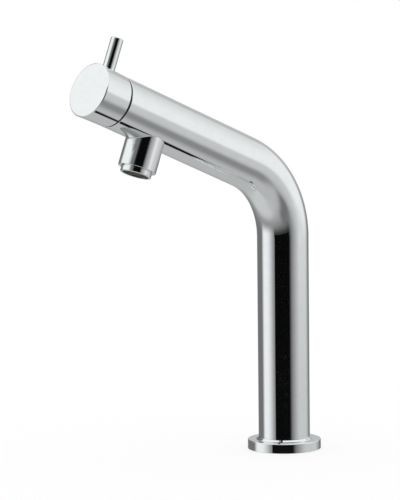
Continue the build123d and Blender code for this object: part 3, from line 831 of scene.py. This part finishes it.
@dataclass(frozen=True)
class BaseFlange:
    """The cover ring at the foot, with the collar round the tube and the grooves of its two seals."""

    radius: float = 22.8 * MM
    height: float = 5.9 * MM
    top_round: float = 0.5 * MM
    foot_round: float = 0.15 * MM
    bore_r: float = 16.1 * MM
    collar_top: float = 7.4 * MM
    collar_rim: float = 0.3 * MM
    collar_slope: float = 1.1 * MM
    collar_step: float = 0.25 * MM
    lip: float = 2.0 * MM
    lip_r: float = 11.0 * MM
    gasket: tuple[float, float, float] = (17.6 * MM, 21.4 * MM, 1.0 * MM)
    groove: tuple[float, float, float] = (17.3 * MM, 2.95 * MM, 4.95 * MM)

    def build(self, workshop: Workshop) -> None:
        """Turns the ring and lets it stand for the CAD piece."""
        skin = SkinMesh()
        gasket_in, gasket_out, gasket_top = self.gasket
        groove_r, groove_low, groove_high = self.groove
        rim_r = self.bore_r + self.collar_rim
        foot_r = rim_r + self.collar_slope
        ring = upright(columns=256)
        ring.turn(skin, (
            (self.radius, 0, self.foot_round), (self.radius, self.height, self.top_round),
            (foot_r, self.height), (foot_r, self.height + self.collar_step),
            (rim_r, self.collar_top - self.collar_step), (rim_r, self.collar_top),
            (self.bore_r, self.collar_top), (self.bore_r, groove_high), (groove_r, groove_high),
            (groove_r, groove_low), (self.bore_r, groove_low), (self.bore_r, self.lip),
            (self.lip_r, self.lip), (self.lip_r, 0, self.foot_round), (gasket_in, 0),
            (gasket_in, gasket_top), (gasket_out, gasket_top), (gasket_out, 0),
        ), arc_steps=8)
        workshop.fit(skin.build("base_ring"), Body.SPOUT, "chrome", "base_flange")


@dataclass(frozen=True)
class InletBush:
    """The brass foot in the tube, with a real G1/2 thread cut in it."""

    line: TapLine
    top: float = 22.0 * MM
    thread_top: float = 17.0 * MM
    crest_r: float = 9.3155 * MM
    thread_depth: float = 1.162 * MM
    pitch: float = 1.814 * MM
    entry: float = 0.9 * MM
    bore_r: float = 7.0 * MM
    chamfer: float = 0.8 * MM
    columns: int = 128
    rows_per_pitch: int = 12
    flat_share: float = 0.17

    def wall(self, angle: float, height: float) -> float:
        """The thread's radius at an angle and a height.

        Args:
            angle: The angle about the axis, in radians.
            height: The height above the deck.

        Returns:
            The radius: crest, root or flank, with a chamfered entry and a run-out at the top.
        """
        phase = (height / self.pitch - angle / (2 * math.pi)) % 1.0
        ramp = (1 - abs(2 * phase - 1) - self.flat_share) / (1 - 2 * self.flat_share)
        ramp = min(1.0, max(0.0, ramp))
        ramp = ramp * ramp * (3 - 2 * ramp)
        run_out = min(1.0, max(0.0, (self.thread_top - height) / self.pitch))
        chamfer = 1 - (height - self.line.foot) / self.entry
        return self.crest_r + self.thread_depth * max(ramp * run_out, chamfer, 0.0)

    def build(self, workshop: Workshop) -> None:
        """Builds the bush and lets it stand for the CAD piece."""
        skin = SkinMesh()
        axis = upright(columns=self.columns)
        count = round((self.thread_top - self.line.foot) / self.pitch * self.rows_per_pitch)
        rows = []
        for row in range(count + 1):
            height = self.line.foot + (self.thread_top - self.line.foot) * row / count
            rows.append([self._corner(axis, column, height) for column in range(self.columns)])
        skin.loft(rows)
        entry_r = self.crest_r + self.thread_depth
        axis.turn(skin, (
            (self.crest_r, self.thread_top), (self.bore_r, self.thread_top),
            (self.bore_r, self.top - self.chamfer), (self.bore_r + self.chamfer, self.top),
            (self.line.bore_r, self.top), (self.line.bore_r, self.line.foot), (entry_r, self.line.foot),
        )[::-1], closed=False)
        workshop.fit(skin.build("inlet_foot"), Body.SPOUT, "brass", "inlet_bush")

    def _corner(self, axis: TurnedFrame, column: int, height: float) -> Corner:
        """A point of the threaded wall, with its normal from the wall's slopes."""
        angle = 2 * math.pi * column / self.columns
        step = 0.02 * MM
        turn = step / self.crest_r
        climb = (self.wall(angle, height + step) - self.wall(angle, height - step)) / (2 * step)
        drift = (self.wall(angle + turn, height) - self.wall(angle - turn, height)) / (2 * step)
        spoke = axis.spoke(angle)
        across = axis.along.cross(spoke)
        point = axis.origin + axis.along * height + spoke * self.wall(angle, height)
        return point, -spoke + axis.along * climb + across * drift


@dataclass(frozen=True)
class Handle:
    """The turning head: a cap that widens a little to its front, and the pin that stands on it."""

    line: TapLine
    back: float = 0.55 * MM
    front: float = 19.65 * MM
    back_r: float = 16.0 * MM
    front_r: float = 16.5 * MM
    back_round: float = 0.3 * MM
    front_round: float = 0.7 * MM
    cavity_r: float = 13.5 * MM
    cavity_end: float = 5.55 * MM
    bush_r: float = 5.5 * MM
    bush_end: float = 15.05 * MM
    pin_at: float = 9.9 * MM
    pin_r: float = 3.75 * MM
    pin_gap: float = 0.1 * MM
    pin_thread_r: float = 3.0 * MM
    pin_foot: float = 10.5 * MM
    pin_seat: float = 15.0 * MM
    pin_top: float = 35.1 * MM
    pin_round: float = 0.5 * MM

    @property
    def axis(self) -> TurnedFrame:
        """The head's axis, with the pin's side as its out direction."""
        return TurnedFrame(self.line.seam, self.line.arm_dir, self.line.arm_up)

    def build_cap(self, workshop: Workshop) -> None:
        """Builds the cap with its bores and lets it stand for the CAD piece."""
        skin = SkinMesh()
        flare = (self.front_r - self.back_r) / (self.front - self.back)
        low, high = self.back + self.back_round, self.front - self.front_round
        low_r, high_r = (self.back_r + flare * (end - self.back) for end in (low, high))
        side = PiercedTube(
            self.axis, (low_r, low), (high_r, high), self.pin_at, self.pin_r + self.pin_gap,
            row_length=0.5 * MM, margin=1.5,
        )
        bush = PiercedTube(
            self.axis, (self.bush_r, self.cavity_end), (self.bush_r, self.bush_end), self.pin_at,
            self.pin_thread_r, Side.INSIDE, row_length=0.5 * MM, margin=1.2,
        )
        upper, lower = Branch(side, side.weave(skin)), Branch(bush, bush.weave(skin))
        upper.wall(skin, side.hole_r, self.pin_seat, Side.INSIDE)
        upper.step(skin, side.hole_r, lower, bush.hole_r, self.pin_seat)
        lower.wall(skin, bush.hole_r, self.pin_seat, Side.INSIDE)
        self.axis.turn(skin, (
            (self.bush_r, self.cavity_end), (self.cavity_r, self.cavity_end), (self.cavity_r, self.back),
            (self.back_r, self.back, self.back_round), (low_r, low),
        ), closed=False)
        self.axis.turn(skin, (
            (high_r, high), (self.front_r, self.front, self.front_round), (0.0, self.front),
        ), closed=False, arc_steps=12)
        self.axis.turn(skin, ((0.0, self.bush_end), (self.bush_r, self.bush_end)), closed=False)
        workshop.fit(skin.build("head_cap"), Body.HANDLE, "chrome", "handle_cap")

    def build_pin(self, workshop: Workshop) -> None:
        """Turns the pin lever and lets it stand for the CAD piece."""
        skin = SkinMesh()
        root = self.line.seam + self.line.arm_dir * self.pin_at
        pin = TurnedFrame(root, self.line.arm_up, self.line.arm_dir, columns=96)
        pin.turn(skin, (
            (0.0, self.pin_foot), (self.pin_thread_r, self.pin_foot), (self.pin_thread_r, self.pin_seat),
            (self.pin_r, self.pin_seat), (self.pin_r, self.pin_top, self.pin_round), (0.0, self.pin_top),
        ), closed=False, arc_steps=8)
        workshop.fit(skin.build("pin_lever"), Body.HANDLE, "chrome", "handle_pin")


@dataclass(frozen=True)
class Aerator:
    """The chromed ring under the nozzle and the woven screen in its mouth."""

    line: TapLine
    top: float = 24.8 * MM
    foot: float = 34.7 * MM
    ring_r: float = 9.35 * MM
    bore_r: float = 8.3 * MM
    mouth_r: float = 7.9 * MM
    lip: float = 0.7 * MM
    foot_round: float = 0.4 * MM
    mouth_round: float = 0.1 * MM
    screen_height: float = 0.5 * MM
    screen_rim: float = 0.45 * MM
    rim_round: float = 0.12 * MM
    wire_r: float = 0.11 * MM
    wire_bite: float = 0.1 * MM
    pitch: float = 0.72 * MM
    wire_sides: int = 6
    steps_per_pitch: int = 6

    @property
    def axis(self) -> TurnedFrame:
        """The nozzle's axis, pointing down it."""
        root = self.line.seam + self.line.arm_dir * self.line.nozzle_at
        return TurnedFrame(root, -self.line.arm_up, self.line.arm_dir, columns=160)

    def build_ring(self, workshop: Workshop) -> None:
        """Turns the housing and lets it stand for the CAD piece."""
        skin = SkinMesh()
        line = self.line
        inner_foot = self.foot - self.lip
        self.axis.turn(skin, (
            (line.thread_r, self.top), (line.thread_r, line.nozzle_end), (self.ring_r, line.nozzle_end),
            (self.ring_r, self.foot, self.foot_round), (self.mouth_r, self.foot, self.mouth_round),
            (self.mouth_r, inner_foot), (self.bore_r, inner_foot), (self.bore_r, self.top),
        ))
        workshop.fit(skin.build("aerator_ring"), Body.SPOUT, "chrome", "aerator_housing")

    def build_screen(self, workshop: Workshop) -> None:
        """Weaves the screen in its rim and lets it stand for the CAD piece."""
        skin = SkinMesh()
        low = self.foot - self.lip - self.screen_height
        high = low + self.screen_height
        reach = self.bore_r - self.screen_rim
        self.axis.turn(skin, (
            (self.bore_r, low, self.rim_round), (self.bore_r, high, self.rim_round),
            (reach, high, self.rim_round), (reach, low, self.rim_round),
        ))
        middle = (low + high) / 2
        count = math.floor(reach / self.pitch)
        across = self.axis.along.cross(self.axis.out)
        for number in range(-count, count + 1):
            way = 1 if number % 2 else -1
            self._wire(skin, number * self.pitch, way, middle, reach, self.axis.out, across)
            self._wire(skin, number * self.pitch, -way, middle, reach, across, self.axis.out)
        workshop.fit(skin.build("woven_screen"), Body.SPOUT, "steel_mesh", "aerator_screen")

    def _wire(
        self, skin: SkinMesh, place: float, way: int, middle: float, reach: float,
        run: Vector, offset: Vector,
    ) -> None:
        """Adds one wire that waves over and under those that cross it.

        Args:
            skin: The mesh that takes the faces.
            place: How far across the screen the wire lies.
            way: 1 if it dips down the nozzle's axis at its middle, or -1 if it rises there.
            middle: The screen's middle, along the nozzle's axis.
            reach: The radius that the wire reaches to.
            run: The direction that the wire runs in.
            offset: The direction across it.
        """
        half = math.sqrt(max(0.0, reach**2 - place**2)) + self.wire_bite
        steps = max(4, round(2 * half / self.pitch * self.steps_per_pitch))
        rows = []
        for step in range(steps + 1):
            along = -half + 2 * half * step / steps
            phase = math.pi * along / self.pitch
            lift = way * self.wire_r * math.cos(phase)
            slope = -way * self.wire_r * math.sin(phase) * math.pi / self.pitch
            tangent = (run + self.axis.along * slope).normalized()
            normal = tangent.cross(offset).normalized()
            centre = self.axis.origin + self.axis.along * (middle + lift) + run * along + offset * place
            row = []
            for side in range(self.wire_sides):
                turn = 2 * math.pi * side / self.wire_sides
                spoke = offset * math.cos(turn) + normal * math.sin(turn)
                row.append((centre + spoke * self.wire_r, spoke))
            rows.append(row)
        skin.loft(rows)
        for row, ends in ((rows[0], -run), (rows[-1], run)):
            skin.face([(point, ends) for point, _ in row])


INNER_FINISHES: dict[str, tuple[str, ...]] = {
    "brass": ("valve_housing", "headwork_body", "spindle", "handle_bush"),
    "steel": ("handle_screw", "spindle_clip"),
    "ceramic": ("fixed_disc", "moving_disc"),
    "rubber": (
        "flange_oring", "deck_gasket", "housing_orings", "seat_seal", "spindle_orings", "aerator_washer",
    ),
    "fibre": ("headwork_gasket",),
    "black_plastic": ("glide_ring",),
    "white_plastic": ("spindle_washer", "aerator_insert"),
}


# Stage


@dataclass(frozen=True)
class Panel:
    """A light, a wall or a flag of the photo studio, as the chrome sees it.

    Turns are in degrees from the camera's own direction, positive to the picture's right, and
    tilts are in degrees above the horizon. A side may lean to the right as it rises, by its slant in
    degrees of turn for each degree of tilt. A side that isn't given lies beyond every direction.
    """

    LEANS_FROM: ClassVar[float] = -8.0
    name: str
    level: float
    centre: float = 0.0
    left: tuple[float, float] = (400.0, 401.0)
    right: tuple[float, float] = (400.0, 401.0)
    low: tuple[float, float] = (-402.0, -401.0)
    high: tuple[float, float] = (401.0, 402.0)
    left_slant: float = 0.0
    right_slant: float = 0.0

    def mask(self, nodes: Nodes, turn: Socket, tilt: Socket) -> Socket:
        """Where the panel shows.

        Args:
            nodes: The world's tree.
            turn: The direction's turn from the camera's.
            tilt: The direction's height above the horizon.

        Returns:
            A value from 0 outside the panel to 1 inside it.
        """
        from_centre = nodes.math("WRAP", nodes.math("SUBTRACT", turn, self.centre), 180.0)
        from_centre.node.inputs[2].default_value = -180.0
        rise = nodes.math("MAXIMUM", tilt, self.LEANS_FROM)
        from_left = nodes.math("SUBTRACT", from_centre, nodes.math("MULTIPLY", rise, self.left_slant))
        from_right = nodes.math("SUBTRACT", from_centre, nodes.math("MULTIPLY", rise, self.right_slant))
        edges = [
            nodes.spread(from_left, -self.left[1], -self.left[0]),
            nodes.spread(from_right, *self.right, 1.0, 0.0),
            nodes.spread(tilt, *self.low),
            nodes.spread(tilt, *self.high, 1.0, 0.0),
        ]
        inside = edges[0]
        for edge in edges[1:]:
            inside = nodes.math("MULTIPLY", inside, edge)
        return inside


SURROUND: tuple[Panel, ...] = (
    Panel("left soft box", 1.04, -84, (10, 30), (4, 52), (-30, -11)),
    Panel("right wall", 0.69, 90, (14, 64), (20, 62)),
    Panel("back wall", 0.43, 178, (5, 24), (8, 24)),
    Panel("right soft box", 1.03, 108, (28, 45), (8, 40), (-10, 1), (12, 60), right_slant=0.9),
    Panel("back soft box", 0.58, 170, (12, 28), (10, 26), (-6, 6)),
    Panel("left upper soft box", 1.09, -96, (14, 40), (20, 58), (2, 18)),
    Panel("dim room behind the camera", 0.035, 0, (35.5, 37.0), (26, 42), (-26, -10.4), (26, 35), 0.5, 0.3),
    Panel("black flag at the camera", 0.003, 0, (35.5, 36.5), (26, 33), (-10.8, -10.2), (27, 33), 0.5, 0.3),
    Panel("overhead light", 1.1, low=(34, 42)),
    Panel("table", 0.56, high=(-52, -9)),
    Panel("light on the table", 0.70, -84, (30, 90), (20, 90), high=(-48, -30)),
    Panel("shade beside the gap", 0.20, 34, (16, 40), (8, 24), (-42, -28), (-24, -12)),
    Panel("shade on the table", 0.30, 78, (8, 36), (14, 40), (-66, -46), (-40, -24)),
    Panel("dark foot of the stand", 0.01, 122, (15, 21), (15, 21), (-78, -75.8), (-71.8, -70.2)),
)


@dataclass(frozen=True)
class Studio:
    """A pale floor, a soft white surround with a dark gap behind the camera, and the camera."""

    azimuth: float = math.radians(48.84)
    elevation: float = math.radians(5.49)
    roll: float = math.radians(-0.64)
    distance: float = 1.5
    focal: float = 2417.65
    long_side: float = 500.0
    sensor: float = 36.0
    aim_height: float = 0.12456
    aim_side: float = -0.05139
    floor_r: float = 0.45
    floor_drop: float = 0.05 * MM
    floor_glow: float = 0.7
    room_level: float = 0.2
    air: tuple[float, float, float, float] = (0.985, 1.0, 0.995, 1.0)

    def place_camera(self) -> None:
        """Puts the camera where the photograph was taken from."""
        towards = Vector((
            math.cos(self.elevation) * math.cos(self.azimuth),
            math.cos(self.elevation) * math.sin(self.azimuth),
            math.sin(self.elevation),
        ))
        right = Vector((-math.sin(self.azimuth), math.cos(self.azimuth), 0))
        up = towards.cross(right)
        aim = Vector((0, 0, self.aim_height)) + right * self.aim_side
        spun_right = right * math.cos(self.roll) + up * math.sin(self.roll)
        spun_up = up * math.cos(self.roll) - right * math.sin(self.roll)
        camera = bpy.data.objects.new("camera", bpy.data.cameras.new("camera"))
        camera.data.sensor_width = self.sensor
        camera.data.lens = self.focal * self.sensor / self.long_side
        turn = Matrix((spun_right, spun_up, towards)).transposed()
        camera.matrix_world = Matrix.Translation(aim + towards * self.distance) @ turn.to_4x4()
        bpy.context.scene.collection.objects.link(camera)
        bpy.context.scene.camera = camera

    def light(self) -> None:
        """Builds the surround that lights the tap and shows in its chrome."""
        world = bpy.data.worlds.new("surround")
        bpy.context.scene.world = world
        nodes = Nodes.within(world)
        look = nodes.add("ShaderNodeTexCoord").outputs["Generated"]
        parts = nodes.add("ShaderNodeSeparateXYZ", Vector=look)
        turn = nodes.math("DEGREES", nodes.math("ARCTAN2", parts.outputs["Y"], parts.outputs["X"]))
        turn = nodes.math("SUBTRACT", turn, math.degrees(self.azimuth))
        tilt = nodes.math("DEGREES", nodes.math("ARCSINE", parts.outputs["Z"]))
        level = self.room_level
        for panel in SURROUND:
            step = nodes.add("ShaderNodeMix", data_type="FLOAT")
            nodes.feed(step.inputs[0], panel.mask(nodes, turn, tilt))
            nodes.feed(step.inputs[2], level)
            nodes.feed(step.inputs[3], panel.level)
            level = step.outputs[0]
        paths = nodes.add("ShaderNodeLightPath")
        plain = nodes.add("ShaderNodeBackground", Color=(1, 1, 1, 1), Strength=1.0).outputs[0]
        around = nodes.add("ShaderNodeBackground", Color=self.air, Strength=level).outputs[0]
        mixed = nodes.join("ShaderNodeMixShader", plain, around, Fac=paths.outputs["Is Glossy Ray"])
        nodes.add("ShaderNodeOutputWorld", Surface=mixed)

    def lay_floor(self) -> None:
        """Lays a round pale floor that keeps the tap's shadow and is clear from below."""
        skin = SkinMesh()
        upright(-self.floor_drop, 96).turn(skin, ((self.floor_r, 0.0), (0.0, 0.0)), closed=False)
        floor = skin.build("floor")
        made = bpy.data.materials.new("floor")
        nodes = Nodes.within(made)
        paths = nodes.add("ShaderNodeLightPath")
        lit = nodes.add("ShaderNodeEmission", Color=(1, 1, 1, 1), Strength=self.floor_glow).outputs[0]
        grey = (1 - self.floor_glow,) * 3
        matt = nodes.add("ShaderNodeBsdfDiffuse", Color=(*grey, 1.0)).outputs[0]
        both = nodes.join("ShaderNodeAddShader", matt, lit)
        clear = nodes.add("ShaderNodeBsdfTransparent").outputs[0]
        behind = nodes.add("ShaderNodeNewGeometry").outputs["Backfacing"]
        unseen = nodes.math("MAXIMUM", behind, paths.outputs["Is Glossy Ray"])
        sides = nodes.join("ShaderNodeMixShader", both, clear, Fac=unseen)
        nodes.add("ShaderNodeOutputMaterial", Surface=sides)
        floor.data.materials.append(made)


def main() -> None:
    """Builds the tap's pieces and the studio in order."""
    logging.basicConfig(level=logging.INFO, format="%(name)s: %(message)s")
    bpy.context.scene.view_settings.view_transform = "Standard"
    workshop = Workshop()
    line = TapLine()
    Spout(line).build(workshop)
    BaseFlange().build(workshop)
    InletBush(line).build(workshop)
    handle = Handle(line)
    handle.build_cap(workshop)
    handle.build_pin(workshop)
    aerator = Aerator(line)
    aerator.build_ring(workshop)
    aerator.build_screen(workshop)
    for finish, nodes in INNER_FINISHES.items():
        for node in nodes:
            workshop.dress(node, finish)
    studio = Studio()
    studio.place_camera()
    studio.light()
    studio.lay_floor()


if __name__ == "__main__":
    main()
